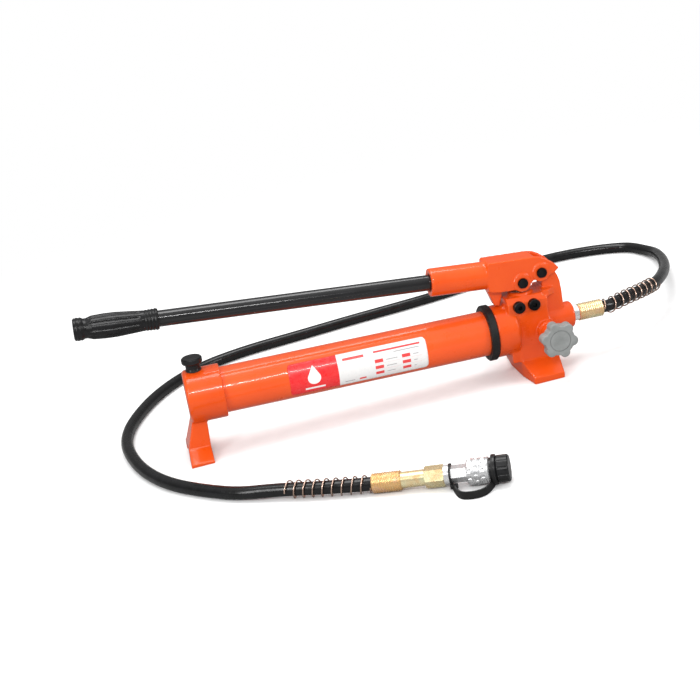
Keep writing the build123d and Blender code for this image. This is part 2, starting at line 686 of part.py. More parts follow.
def valve_plug(valve_x):
    outer_end = (valve_x, VALVE_HEAD_Y, VALVE_Z)
    seat = (valve_x, VALVE_FACE_Y, VALVE_Z)
    shank = rod(VALVE_SHANK_R, seat, (valve_x, VALVE_SHANK_Y, VALVE_Z))
    head = rod(VALVE_HEAD_R, outer_end, seat)
    head = chamfer(head.edges().filter_by(GeomType.CIRCLE).sort_by(Axis.Y)[0], VALVE_HEAD_CHAMFER)
    return shank + head - hex_bar(SOCKET_FLATS, outer_end, (valve_x, VALVE_HEAD_Y + SOCKET_DEPTH, VALVE_Z))


def valve_plugs():
    return [valve_plug(valve_x) for valve_x in VALVE_X]


def seated_ball_y(seat_y):
    """Centre of a ball resting on a seat hole's edge, on the -Y side of the seat."""
    return seat_y - (BALL_R ** 2 - VALVE_SEAT_R ** 2) ** 0.5


def valve_ball(valve_x):
    return Pos(valve_x, seated_ball_y(VALVE_SEAT_Y), VALVE_Z) * Sphere(BALL_R)


def valve_spring(valve_x):
    start_y = VALVE_SHANK_Y + VALVE_WIRE_R
    end_y = seated_ball_y(VALVE_SEAT_Y) - 2.3
    return coil(VALVE_SPRING_R, VALVE_WIRE_R, (valve_x, start_y, VALVE_Z), (valve_x, end_y, VALVE_Z), 4)


def discharge_ball():
    return valve_ball(VALVE_X[0])


def relief_ball():
    return valve_ball(VALVE_X[1])


def discharge_spring():
    return valve_spring(VALVE_X[0])


def relief_spring():
    return valve_spring(VALVE_X[1])


# ---- suction line ----

def suction_tube():
    return ring(SUCTION_R, SUCTION_BORE_R, (SUCTION_LEFT, 0, SUCTION_Z), (SUCTION_SOCKET_END, 0, SUCTION_Z))


def suction_filter():
    outer = rod(FILTER_R, (FILTER_LEFT, 0, SUCTION_Z), (FILTER_RIGHT, 0, SUCTION_Z))
    inner = rod(FILTER_R - FILTER_WALL, (FILTER_LEFT + FILTER_WALL, 0, SUCTION_Z),
                (FILTER_RIGHT - FILTER_WALL, 0, SUCTION_Z))
    return outer - inner - rod(SUCTION_R, (SUCTION_LEFT, 0, SUCTION_Z), (FILTER_RIGHT, 0, SUCTION_Z))


def suction_ball():
    centre_x = SUCTION_SOCKET_END + (SUCTION_BALL_R ** 2 - SUCTION_BORE_R ** 2) ** 0.5
    return Pos(centre_x, 0, SUCTION_Z) * Sphere(SUCTION_BALL_R)


# ---- release valve ----

def release_ball():
    return Pos(*at_release(RELEASE_BORE_END - 2.0)) * Sphere(BALL_R)


def across_knob(reach):
    """Pin, or the hole for it, across the knob's hub and the spindle."""
    x, y, z = at_release(KNOB_PIN_Y)
    return rod(KNOB_PIN_R, (x - reach, y, z), (x + reach, y, z))


def release_spindle():
    spindle = rod(SPINDLE_R, at_release(KNOB_BACK_Y - 6), at_release(SPINDLE_TIP_Y))
    return spindle - across_knob(2 * SPINDLE_R)


def release_seal():
    return ring(RELEASE_SEAL_R - RUNNING_GAP, SPINDLE_R + RUNNING_GAP,
                at_release(RELEASE_SEAL_Y - RELEASE_SEAL_THICK), at_release(RELEASE_SEAL_Y))


def release_gland():
    outer_y = RELEASE_NECK_Y - GLAND_HEAD_THICK
    body = rod(GLAND_R, at_release(RELEASE_NECK_Y), at_release(GLAND_INNER_Y))
    head = hex_bar(GLAND_FLATS, at_release(outer_y), at_release(RELEASE_NECK_Y))
    return body + head - rod(SPINDLE_R + RUNNING_GAP, at_release(outer_y), at_release(GLAND_INNER_Y))


def release_knob():
    thickness = KNOB_BACK_Y - KNOB_FACE_Y
    star = Circle(KNOB_CORE_R)
    for lobe in range(KNOB_LOBES):
        turn = KNOB_FIRST_LOBE + lobe * 360 / KNOB_LOBES
        reach = KNOB_TIP_R - KNOB_LOBE_R
        star += Rot(0, 0, turn) * Pos(reach, 0) * Circle(KNOB_LOBE_R)
    inner_corners = star.vertices()
    star = fillet(inner_corners, 2.0)
    disc = extrude(Plane(origin=at_release(KNOB_BACK_Y), x_dir=PLUS_X, z_dir=MINUS_Y) * star, thickness)
    face_edges = disc.faces().sort_by(Axis.Y)[0].edges()
    disc = fillet(face_edges, 1.8)
    disc -= ring(KNOB_RING_R, KNOB_RING_R - 1, at_release(KNOB_FACE_Y), at_release(KNOB_FACE_Y + 0.8))
    hub = rod(KNOB_HUB_R, at_release(KNOB_BACK_Y), at_release(KNOB_HUB_Y))
    knob = disc + hub - rod(SPINDLE_R, at_release(KNOB_BACK_Y - 6), at_release(KNOB_HUB_Y))
    return knob - across_knob(2 * KNOB_HUB_R)


def knob_pin():
    return across_knob(KNOB_HUB_R - 0.3)


# ---- handle ----

HANDLE_ALONG = (-cos(radians(HANDLE_TILT)), 0, sin(radians(HANDLE_TILT)))


def at_handle(station):
    """Point on the handle's centre line."""
    return tuple(start + station * step for start, step in zip(HANDLE_START, HANDLE_ALONG))


def bracket_cheeks():
    """Body of the bracket with a raised ring round each pin."""
    solid = side_plate(BRACKET_OUTLINE, -BRACKET_HALF, BRACKET_HALF)
    reach = BRACKET_HALF + BRACKET_BOSS_PROUD
    for pin_x, pin_z in PIN_PLACES:
        solid += rod(BRACKET_BOSS_R, (pin_x, -reach, pin_z), (pin_x, reach, pin_z))
    return solid


def bracket_fork():
    """Space between the cheeks, closed at the left by a wall and on top by a roof."""
    left = BRACKET_LEFT + BRACKET_WALL
    space = [(left, 0), (left, BRACKET_TOP_LEFT - BRACKET_ROOF),
             (FORK_OPEN_X, BRACKET_TOP_RIGHT - BRACKET_ROOF), (FORK_OPEN_X, FORK_REACH),
             (FORK_REACH, FORK_REACH), (FORK_REACH, 0)]
    return side_plate(space, -FORK_HALF, FORK_HALF)


def bracket_socket_bore():
    """Hole for the handle tube, with a bell mouth."""
    mouth_start = SOCKET_LENGTH - SOCKET_MOUTH_DEPTH
    outline = [(0, HANDLE_TUBE_START), (SOCKET_HOLE_R, HANDLE_TUBE_START), (SOCKET_HOLE_R, mouth_start),
               (SOCKET_MOUTH_R, SOCKET_LENGTH), (0, SOCKET_LENGTH)]
    return turned(outline, HANDLE_START, HANDLE_ALONG)


def handle_bracket():
    solid = bracket_cheeks()
    solid += rod(SOCKET_R, at_handle(-2), at_handle(SOCKET_LENGTH))
    solid -= bracket_fork()
    solid += side_plate(HOOK_OUTLINE, -HOOK_HALF, HOOK_HALF)
    solid += side_plate(HOOK_ROOT_OUTLINE, -FORK_HALF, FORK_HALF)
    solid -= bracket_socket_bore()
    screw_x, screw_y, screw_z = at_handle(SET_SCREW_AT)
    solid -= rod(SET_SCREW_R, (screw_x, screw_y, screw_z), (screw_x, screw_y + 2 * SOCKET_R, screw_z))
    for pin_x, pin_z in PIN_PLACES:
        solid -= rod(PIN_R, (pin_x, -PIN_HALF_LENGTH, pin_z), (pin_x, PIN_HALF_LENGTH, pin_z))
    return solid


def handle_tube():
    return ring(HANDLE_TUBE_R, HANDLE_TUBE_BORE_R, at_handle(HANDLE_TUBE_START), at_handle(HANDLE_TUBE_END))


def handle_set_screw():
    x, y, z = at_handle(SET_SCREW_AT)
    screw = rod(SET_SCREW_R, (x, y + HANDLE_TUBE_R, z), (x, y + SOCKET_R - 0.8, z))
    return screw - hex_bar(SET_SCREW_FLATS, (x, y + SOCKET_R - 4, z), (x, y + SOCKET_R, z))


def handle_grip():
    outline = [(HANDLE_TUBE_R, GRIP_START), (GRIP_VALLEY_R, GRIP_START)]
    for rib in range(GRIP_RIBS):
        at = GRIP_START + 1.5 + rib * GRIP_RIB_PITCH
        outline += [(GRIP_RIB_R, at), (GRIP_RIB_R, at + 1.6), (GRIP_VALLEY_R, at + 2)]
    outline += [(radius, GRIP_START + station) for radius, station in GRIP_SWELL]
    outline += [(GRIP_RIB_R, GRIP_END - 1.2), (GRIP_RIB_R - 1.4, GRIP_END), (0, GRIP_END),
                (0, HANDLE_TUBE_END), (HANDLE_TUBE_R, HANDLE_TUBE_END)]
    return turned(outline, HANDLE_START, HANDLE_ALONG)


def pin_through(pin_x, pin_z):
    """Round pin across the bracket, with a groove near each end for its clip."""
    pin = rod(PIN_R, (pin_x, -PIN_HALF_LENGTH, pin_z), (pin_x, PIN_HALF_LENGTH, pin_z))
    for side in (-1, 1):
        groove = ring(PIN_R + 1, PIN_R - PIN_GROOVE, (pin_x, side * CLIP_AT, pin_z),
                      (pin_x, side * (CLIP_AT + CLIP_THICK), pin_z))
        pin -= groove
    return pin


def fulcrum_pin():
    return pin_through(FULCRUM_X, FULCRUM_Z)


def plunger_pin():
    return pin_through(PLUNGER_PIN_X, PLUNGER_PIN_Z)


def pin_clips():
    clips = []
    for pin_x, pin_z in PIN_PLACES:
        for side in (-1, 1):
            clip = ring(CLIP_R, PIN_R - PIN_GROOVE, (pin_x, side * CLIP_AT, pin_z),
                        (pin_x, side * (CLIP_AT + CLIP_THICK), pin_z))
            mouth = Pos(pin_x, 0, pin_z - CLIP_R) * Box(CLIP_MOUTH, 4 * PIN_HALF_LENGTH, 2 * CLIP_R)
            clips.append(clip - mouth)
    return clips


# ---- hose ----

def pump_point(x, y, z):
    """Pump-frame point in the floor frame."""
    tilt = radians(TANK_TILT)
    return (x * cos(tilt) + z * sin(tilt), y, z * cos(tilt) - x * sin(tilt) + AXIS_HEIGHT)


PORT_ALONG = (cos(radians(TANK_TILT)), 0, -sin(radians(TANK_TILT)))
NIPPLE_END_X = PORT_FACE_X + NIPPLE_HEX_LENGTH
HOSE_START = pump_point(NIPPLE_END_X + FERRULE_LENGTH, 0, PORT_Z)
COUPLER_ALONG = (cos(radians(COUPLER_CLIMB)) * cos(radians(COUPLER_HEADING)),
                 cos(radians(COUPLER_CLIMB)) * sin(radians(COUPLER_HEADING)),
                 sin(radians(COUPLER_CLIMB)))


def at_coupler(station):
    """Point on the coupler's centre line."""
    return tuple(start + station * step for start, step in zip(COUPLER_START, COUPLER_ALONG))


def arc_pair(start, start_along, end, end_along):
    """Two arcs that leave start along one direction and reach end along another without a kink."""
    span = end - start
    both = start_along + end_along
    spread = 2 * (1 - start_along.dot(end_along))
    pull = span.dot(both)
    if spread < 1e-6:
        reach = span.dot(span) / (2 * pull)
    else:
        reach = ((pull ** 2 + spread * span.dot(span)) ** 0.5 - pull) / spread
    middle = (start + start_along * reach + end - end_along * reach) * 0.5
    first = TangentArc(start, middle, tangent=start_along)
    return [first, TangentArc(middle, end, tangent=first % 1)]


def hose_line():
    """Centre line of the hose: straight inside both ferrules and arcs between them."""
    points = [Vector(HOSE_START)] + [Vector(point) for point in HOSE_BEND] + [Vector(COUPLER_START)]
    along = [Vector(PORT_ALONG)]
    for before, after in zip(points, points[2:]):
        along.append((after - before).normalized())
    along.append(Vector(COUPLER_ALONG))
    edges = [Line(pump_point(NIPPLE_END_X + FERRULE_FLOOR, 0, PORT_Z), points[0])]
    for number in range(len(points) - 1):
        edges += arc_pair(points[number], along[number], points[number + 1], along[number + 1])
    edges.append(Line(points[-1], at_coupler(FERRULE_LENGTH - FERRULE_FLOOR)))
    return Wire(edges)


def pressure_hose():
    path = hose_line()
    section = Plane(origin=path @ 0, z_dir=path % 0) * (Circle(HOSE_R) - Circle(HOSE_BORE_R))
    return sweep(section, path=path)


def hose_nipple():
    thread = rod(NIPPLE_THREAD_R, (PORT_BORE_END + 1, 0, PORT_Z), (PORT_FACE_X, 0, PORT_Z))
    nut = hex_bar(NIPPLE_FLATS, (PORT_FACE_X, 0, PORT_Z), (NIPPLE_END_X, 0, PORT_Z))
    tail_end = (NIPPLE_END_X + FERRULE_LENGTH - TAIL_SHORT, 0, PORT_Z)
    tail = rod(TAIL_R, (NIPPLE_END_X, 0, PORT_Z), tail_end)
    return thread + nut + tail - rod(TAIL_BORE_R, (PORT_BORE_END + 1, 0, PORT_Z), tail_end)


def ferrule(start, along):
    """Crimped ferrule with rounded ridges round the hose, open towards the hose."""
    pitch = (FERRULE_LENGTH - 3) / FERRULE_RIDGES
    outline = [(TAIL_R, 0), (FERRULE_R, 0), (FERRULE_R, 1.2)]
    for ridge in range(FERRULE_RIDGES):
        at = 1.5 + ridge * pitch
        outline += [(FERRULE_R - RIDGE_DEPTH, at), (FERRULE_R, at + pitch / 2)]
    outline += [(FERRULE_R - RIDGE_DEPTH, FERRULE_LENGTH - 1.5), (FERRULE_R, FERRULE_LENGTH - 1),
                (FERRULE_R, FERRULE_LENGTH), (HOSE_R, FERRULE_LENGTH), (HOSE_R, 1.5), (TAIL_R, 1.5)]
    return turned(outline, start, along)


def pump_ferrule():
    return ferrule((NIPPLE_END_X, 0, PORT_Z), PLUS_X)


def coupler_ferrule():
    backward = tuple(-step for step in COUPLER_ALONG)
    return ferrule(at_coupler(FERRULE_LENGTH), backward)


def guard_spring(length, from_pump):
    """Coil spring that follows the curve of the hose at one of its ends."""
    path = hose_line()
    first = FERRULE_LENGTH - FERRULE_FLOOR + GUARD_WIRE_R + RUNNING_GAP
    start = first if from_pump else path.length - first - length
    points = []
    steps = GUARD_TURNS * GUARD_STEPS
    for step in range(steps + 1):
        share = step / steps
        centre = path.position_at(start + length * share, position_mode=PositionMode.LENGTH)
        along = path.tangent_at(start + length * share, position_mode=PositionMode.LENGTH)
        across = along.cross(Vector(0, 0, 1)).normalized()
        up = across.cross(along)
        turn = 2 * pi * GUARD_TURNS * share
        points.append(centre + across * (GUARD_R * cos(turn)) + up * (GUARD_R * sin(turn)))
    wire = Spline(*points)
    section = Plane(origin=wire @ 0, z_dir=wire % 0) * Circle(GUARD_WIRE_R)
    return sweep(section, path=wire, is_frenet=False)


def pump_guard_spring():
    return guard_spring(PUMP_GUARD_LENGTH, True)


def coupler_guard_spring():
    return guard_spring(COUPLER_GUARD_LENGTH, False)


# ---- quick coupler ----

def coupler_sleeve():
    sleeve = rod(SLEEVE_R, at_coupler(FERRULE_LENGTH), at_coupler(SLEEVE_END))
    tail = rod(TAIL_R, at_coupler(TAIL_SHORT), at_coupler(FERRULE_LENGTH))
    return sleeve + tail - rod(TAIL_BORE_R, at_coupler(TAIL_SHORT), at_coupler(SLEEVE_END))


def coupler_adapter():
    nut = hex_bar(ADAPTER_FLATS, at_coupler(SLEEVE_END), at_coupler(ADAPTER_END))
    corner_r = ADAPTER_FLATS / 3 ** 0.5
    face_r = corner_r - ADAPTER_CHAMFER
    limit = turned([(0, SLEEVE_END), (face_r, SLEEVE_END), (corner_r, SLEEVE_END + ADAPTER_CHAMFER),
                    (corner_r, ADAPTER_END - ADAPTER_CHAMFER), (face_r, ADAPTER_END), (0, ADAPTER_END)],
                   COUPLER_START, COUPLER_ALONG)
    return (nut & limit) - rod(TAIL_BORE_R, at_coupler(SLEEVE_END), at_coupler(ADAPTER_END))


def coupler_body():
    shoulder = rod(SHOULDER_R, at_coupler(ADAPTER_END), at_coupler(SHOULDER_END))
    neck = rod(NOSE_R, at_coupler(SHOULDER_END), at_coupler(TETHER_RING_END))
    bar = hex_bar(BODY_HEX_FLATS, at_coupler(TETHER_RING_END), at_coupler(BODY_HEX_END))
    nose = rod(NOSE_R, at_coupler(BODY_HEX_END), at_coupler(NOSE_END))
    flange = rod(NOSE_FLANGE_R, at_coupler(NOSE_FLANGE_START), at_coupler(NOSE_FLANGE_END))
    body = shoulder + neck + bar + nose + flange
    body -= rod(NOSE_BORE_R, at_coupler(NOSE_BORE_START), at_coupler(NOSE_END))
    return body - rod(TAIL_BORE_R, at_coupler(ADAPTER_END), at_coupler(NOSE_BORE_START))


def coupler_collar():
    outline = [(COLLAR_LIP_R, COLLAR_START), (COLLAR_R - 1.5, COLLAR_START)]
    band = (COLLAR_END - COLLAR_START - 2) / 3
    for number in range(3):
        at = COLLAR_START + 1 + number * band
        outline += [(COLLAR_R, at), (COLLAR_R, at + band - 1.6), (COLLAR_R - 0.9, at + band - 1.1),
                    (COLLAR_R - 0.9, at + band - 0.3)]
    outline = outline[:-1]
    outline += [(COLLAR_R - 1.5, COLLAR_END), (COLLAR_THREAD_R, COLLAR_END),
                (COLLAR_THREAD_R, COLLAR_LIP_END), (COLLAR_LIP_R, COLLAR_LIP_END)]
    return turned(outline, COUPLER_START, COUPLER_ALONG)


def coupler_poppet():
    outline = [(0, POPPET_START), (POPPET_R, POPPET_START), (POPPET_R, POPPET_HEAD_START),
               (POPPET_HEAD_R, POPPET_HEAD_START), (POPPET_HEAD_R, POPPET_HEAD_END),
               (POPPET_R, POPPET_HEAD_END + 2.5), (POPPET_R, POPPET_TIP), (0, POPPET_TIP)]
    return turned(outline, COUPLER_START, COUPLER_ALONG)


def coupler_spring():
    return coil(POPPET_SPRING_R, POPPET_WIRE_R, at_coupler(NOSE_BORE_START + POPPET_WIRE_R),
                at_coupler(POPPET_HEAD_START - POPPET_WIRE_R), POPPET_SPRING_TURNS)


def dust_cap():
    outline = [(0, CAP_NECK_FLOOR), (CAP_NECK_BORE_R, CAP_NECK_FLOOR), (CAP_NECK_BORE_R, CAP_NECK_START),
               (CAP_NECK_R, CAP_NECK_START), (CAP_NECK_R, COLLAR_END), (CAP_WAIST_R, COLLAR_END + 0.3),
               (CAP_WAIST_R, CAP_FLANGE_START), (CAP_FLANGE_R, CAP_FLANGE_START),
               (CAP_FLANGE_R, CAP_FLANGE_END - 1), (CAP_FLANGE_R - 2.4, CAP_FLANGE_END),
               (CAP_BARREL_R, CAP_FLANGE_END + 1), (CAP_BARREL_R, CAP_END - 1.5),
               (CAP_BARREL_R - 1.5, CAP_END), (0, CAP_END)]
    cap = turned(outline, COUPLER_START, COUPLER_ALONG)
    plane = Plane(origin=at_coupler(CAP_FLANGE_END + 1.5), z_dir=COUPLER_ALONG)
    centre_r = CAP_BARREL_R + CAP_FLUTE_R - CAP_FLUTE_DEPTH
    flutes = Sketch() + PolarLocations(centre_r, CAP_FLUTES) * Circle(CAP_FLUTE_R)
    return cap - extrude(plane * flutes, CAP_END - CAP_FLANGE_END)


def cap_tether():
    """Flat strap, standing on its edge on the floor, from a ring behind the coupler's hexagon to a
    ring behind the cap's flange, with the strap's bulb end beside the first ring."""
    outward = Vector(COUPLER_ALONG).cross(Vector(PLUS_Z)).normalized()
    rings = ring(TETHER_EYE_R, NOSE_R, at_coupler(SHOULDER_END + 0.2), at_coupler(TETHER_RING_END - 0.2))
    rings += ring(CAP_FLANGE_R, CAP_WAIST_R + 0.1, at_coupler(CAP_FLANGE_START - 2.2),
                  at_coupler(CAP_FLANGE_START - 0.1))
    bulb_place = outward * TETHER_STUB_OUT - Vector(PLUS_Z) * TETHER_STUB_DROP
    bulb = rod(TETHER_STUB_R, Vector(at_coupler(SHOULDER_END + 0.2)) + bulb_place,
               Vector(at_coupler(TETHER_STUB_END)) + bulb_place)
    points = []
    for station, out in TETHER_BEND:
        flat = Vector(at_coupler(station)) + outward * out
        points.append(Vector(flat.X, flat.Y, TETHER_HALF_WIDTH + 0.3))
    path = Spline(*points)
    plane = Plane(origin=path @ 0, x_dir=PLUS_Z, z_dir=path % 0)
    strap = sweep(plane * Rectangle(2 * TETHER_HALF_WIDTH, TETHER_THICK), path=path)
    hollow = rod(NOSE_R, at_coupler(SHOULDER_END - 2), at_coupler(TETHER_RING_END + 2))
    hollow += rod(0.6 * BODY_HEX_FLATS, at_coupler(TETHER_RING_END), at_coupler(BODY_HEX_END))
    hollow += rod(SHOULDER_R + SLIP_GAP, at_coupler(ADAPTER_END), at_coupler(SHOULDER_END))
    inner = rod(CAP_WAIST_R + 0.1, at_coupler(CAP_FLANGE_START - 6), at_coupler(CAP_FLANGE_START + 2))
    return rings + bulb + strap - hollow - inner


PUMP_NODES = (
    reservoir_tube, front_tank_seal, rear_tank_seal, tie_rod, tie_rod_washer, tie_rod_nut,
    retaining_ring, name_label, breather_plug, breather_seal,
    gland_bush, plunger_packing, wiper_ring, plunger, valve_plugs,
    discharge_ball, discharge_spring, relief_ball, relief_spring,
    suction_tube, suction_filter, suction_ball,
    release_ball, release_spindle, release_seal, release_gland, release_knob, knob_pin,
    handle_bracket, handle_tube, handle_set_screw, handle_grip, fulcrum_pin, plunger_pin, pin_clips,
    hose_nipple, pump_ferrule,
)
FLOOR_NODES = (
    rear_cover, pump_head, pressure_hose, coupler_ferrule, pump_guard_spring, coupler_guard_spring,
    coupler_sleeve, coupler_adapter, coupler_body, coupler_collar, coupler_poppet, coupler_spring,
    dust_cap, cap_tether,
)


def as_group(shape):
    """One compound for a list of equal pieces, or the single piece itself."""
    return Compound(children=shape) if isinstance(shape, list) else shape


os.makedirs("parts", exist_ok=True)
for node in PUMP_NODES:
    export_step(placed_in_pump(as_group(node())), f"parts/{node.__name__}.step")
for node in FLOOR_NODES:
    export_step(as_group(node()), f"parts/{node.__name__}.step")
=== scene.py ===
import json
from math import atan2, cos, pi, radians, sin

import bmesh
import bpy
from mathutils import Matrix, Vector


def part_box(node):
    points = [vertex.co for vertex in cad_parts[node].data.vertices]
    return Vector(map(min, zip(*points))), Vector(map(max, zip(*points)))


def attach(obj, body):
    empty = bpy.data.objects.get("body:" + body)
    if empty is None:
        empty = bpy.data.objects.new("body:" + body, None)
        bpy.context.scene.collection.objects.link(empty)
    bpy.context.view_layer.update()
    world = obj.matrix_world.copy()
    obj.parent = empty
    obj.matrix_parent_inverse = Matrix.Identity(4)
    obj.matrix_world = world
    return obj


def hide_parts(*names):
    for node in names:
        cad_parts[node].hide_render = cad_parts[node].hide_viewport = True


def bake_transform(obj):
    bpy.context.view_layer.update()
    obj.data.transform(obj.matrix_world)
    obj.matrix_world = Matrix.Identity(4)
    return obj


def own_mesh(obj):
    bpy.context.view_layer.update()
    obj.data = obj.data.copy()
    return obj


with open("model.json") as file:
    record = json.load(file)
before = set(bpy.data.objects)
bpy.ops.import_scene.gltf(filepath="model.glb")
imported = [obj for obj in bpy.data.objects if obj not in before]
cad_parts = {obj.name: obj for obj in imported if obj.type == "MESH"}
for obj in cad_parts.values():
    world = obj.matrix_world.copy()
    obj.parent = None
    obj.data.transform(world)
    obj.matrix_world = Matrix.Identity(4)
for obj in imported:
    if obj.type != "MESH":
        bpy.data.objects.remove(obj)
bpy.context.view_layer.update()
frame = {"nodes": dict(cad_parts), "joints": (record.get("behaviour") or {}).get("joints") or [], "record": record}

MM = 0.001

# Camera: where it stands, where it looks and how it is rolled.
CAMERA_PLACE = Vector((-0.4717, -1.5217, 0.6567))
CAMERA_AZIMUTH = radians(-8.44)
CAMERA_ELEVATION = radians(20.31)
CAMERA_ROLL = radians(-10.96)
CAMERA_LENS = 64.8

# Castings are softened by remeshing them at this size and smoothing them this many times.
CASTINGS = ("pump_head", "rear_cover", "handle_bracket")
CAST_VOXEL = 1.0 * MM
CAST_SMOOTHING = 9

# Turned, milled and moulded pieces whose edges are broken, and by how much.
SHARP_PIECES = ("hose_nipple", "coupler_adapter", "coupler_body", "valve_plugs", "release_gland",
                "retaining_ring", "fulcrum_pin", "plunger_pin", "coupler_sleeve", "handle_tube")
EDGE_BREAK = 0.35 * MM
EDGE_ANGLE = radians(35)

# Handle grip, in millimetres from the end nearest the pump: (station, radius) outline, ribs and
# flutes, then the number of rings and of segments round them in its mesh.
GRIP_OUTLINE = ((0, 12.6), (1.2, 13.5), (17, 12.9), (30, 14.2), (52, 15.9), (66, 16.1), (82, 15.2),
                (89, 12.7), (92, 12.6), (94, 13.8), (97.5, 14.3), (103.5, 14.2), (105, 12.6))
GRIP_RIBS = (3.0, 7.0, 11.0, 15.0, 95.5, 100.0)
GRIP_RIB_HEIGHT = 0.55
GRIP_RIB_HALF_WIDTH = 1.1
GRIP_GROOVE_DEPTH = 0.25
GRIP_GROOVE_SHIFT = 2
GRIP_FLUTES = 10
GRIP_FLUTE_DEPTH = 1.3
GRIP_FLUTE_START = 18
GRIP_FLUTE_END = 90
GRIP_FLUTE_RUN_IN = 10
GRIP_FLUTE_RUN_OUT = 8
GRIP_RINGS = 210
GRIP_SEGMENTS = 160

# Crimped ferrules, in millimetres; end shares are shares of the length.
FERRULE_R = 11.75
FERRULE_RIDGES = 12
FERRULE_RIDGE_DEPTH = 0.75
FERRULE_END_ROUNDING = 0.8
FERRULE_END_SHARE = 0.04
FERRULE_RINGS = 160
FERRULE_SEGMENTS = 128
CRIMP_JAWS = 8
CRIMP_DEPTH = 0.1
CRIMP_FLATTENING = 0.4

# Coupler collar, in millimetres; stations are shares of its length.
COLLAR_R = 15.2
COLLAR_REAR_ROUNDING = 1.7
COLLAR_REAR_SHARE = 0.07
COLLAR_FRONT_ROUNDING = 1.4
COLLAR_FRONT_SHARE = 0.06
COLLAR_GROOVES = (0.285, 0.585, 0.88)
COLLAR_GROOVE_DEPTH = 0.6
COLLAR_GROOVE_HALF_WIDTH = 0.035
COLLAR_NOTCHES = 12
COLLAR_NOTCH_DEPTH = 1.2
COLLAR_NOTCH_HALF_LENGTH = 0.085
COLLAR_NOTCH_END_SLOPE = 0.03
COLLAR_NOTCH_SIDE_SLOPE = 0.45
COLLAR_NOTCH_ROWS = ((0.14, 0.0), (0.43, 0.5), (0.73, 0.0))
COLLAR_RINGS = 110
COLLAR_SEGMENTS = 224

# Name label, in millimetres along and round the tank; angles are round the tank from its top.
LABEL_LENGTH = 182.0
LABEL_WIDTH = 46.4
LABEL_LIFT = 0.18 * MM
LABEL_THICKNESS = 0.15 * MM
LABEL_CORNER = 5 * MM
LABEL_MIDDLE_ANGLE = radians(87.5)
LABEL_HALF_ANGLE = radians(44)

# Drop on the label: slope of its pointed roof, and where the roof starts as a share of the radius.
DROP_ROOF_SLOPE = 1.75
DROP_ROOF_START = 0.45

# Hidden springs, each a copy of its CAD node: piece, CAD node and the joint that presses it.
PRESSED_SPRINGS = (("discharge_spring_coils", "discharge_spring", "discharge_ball_lift"),
                   ("relief_spring_coils", "relief_spring", "relief_ball_lift"),
                   ("poppet_spring_coils", "coupler_spring", "poppet_press"))

# Vertices this close to a long node's last station belong to its end face.
END_FACE_DEPTH = 0.05 * MM

# Studio: floor and the distances between which it fades out; lights as name, place, size and power.
FLOOR_HALF_SIZE = 3.0
FLOOR_FADE = (0.7, 1.5)
STUDIO_MIDDLE = (-0.12, 0.0, 0.08)
LIGHTS = (("overhead", (-0.25, 0.25, 1.7), (1.6, 0.7), 19),
          ("front_strip", (-0.45, -1.7, 1.25), (1.1, 0.07), 14),
          ("left_panel", (-1.5, -0.9, 0.8), (0.3, 0.9), 8),
          ("right_panel", (1.3, -1.1, 0.9), (0.3, 0.9), 8))

# The lowered handle leans this much more than the tank.
HANDLE_LEAN = radians(4.19)

# Zinc plating is satin: this much of it shines as metal, the rest is matt.
SATIN_METALLIC = 0.7

JOINTS = {joint["name"]: joint for joint in frame["joints"]}
TANK_TILT = atan2(JOINTS["plunger_stroke"]["axis"][0], JOINTS["plunger_stroke"]["axis"][2])
TANK_ALONG = Vector((cos(TANK_TILT), 0, -sin(TANK_TILT)))
TANK_UP = Vector((sin(TANK_TILT), 0, cos(TANK_TILT)))
HANDLE_TILT = TANK_TILT + HANDLE_LEAN
HANDLE_ALONG = Vector((-cos(HANDLE_TILT), 0, sin(HANDLE_TILT)))
COUPLER_ALONG = Vector(JOINTS["collar_turn"]["axis"])


# ---------------------------------------------------------------- node helpers

def new_material(name):
    material = bpy.data.materials.new(name)
    material.use_nodes = True
    return material, material.node_tree, material.node_tree.nodes["Principled BSDF"]


def link(tree, source, target):
    tree.links.new(source, target)


def node(tree, kind, settings=None, **inputs):
    """New node; settings are its own properties, inputs are socket values or sockets to link."""
    made = tree.nodes.new(kind)
    for key, value in (settings or {}).items():
        setattr(made, key, value)
    for key, value in inputs.items():
        socket = made.inputs[int(key[1:])] if key[0] == "i" and key[1:].isdigit() else made.inputs[key]
        if isinstance(value, bpy.types.NodeSocket):
            link(tree, value, socket)
        else:
            socket.default_value = value
    return made


def math(tree, operation, first, second=0.0, third=0.0):
    return node(tree, "ShaderNodeMath", {"operation": operation}, i0=first, i1=second, i2=third).outputs[0]


def object_place(tree):
    return tree.nodes.new("ShaderNodeTexCoord").outputs["Object"]


def noise(tree, place, scale, detail=3.0):
    return node(tree, "ShaderNodeTexNoise", Vector=place, Scale=scale, Detail=detail).outputs["Fac"]


def stretched(tree, place, scale):
    return node(tree, "ShaderNodeMapping", Vector=place, Scale=scale).outputs[0]


def ramp(tree, factor, *stops):
    """Colour ramp from (position, colour) stops."""
    made = node(tree, "ShaderNodeValToRGB", Fac=factor)
    elements = made.color_ramp.elements
    while len(elements) < len(stops):
        elements.new(0.5)
    for element, (position, colour) in zip(elements, stops):
        element.position = position
        element.color = (*colour, 1.0)
    return made.outputs["Color"]


def mapped(tree, value, source, target, settings=None):
    """Value carried from the source (low, high) range to the target range."""
    made = node(tree, "ShaderNodeMapRange", settings, Value=value)
    for socket, limit in zip(list(made.inputs)[1:5], (*source, *target)):
        socket.default_value = limit
    return made.outputs[0]


def between(tree, factor, low, high):
    """Value that goes from low to high as factor goes from 0.3 to 0.7."""
    return mapped(tree, factor, (0.3, 0.7), (low, high))


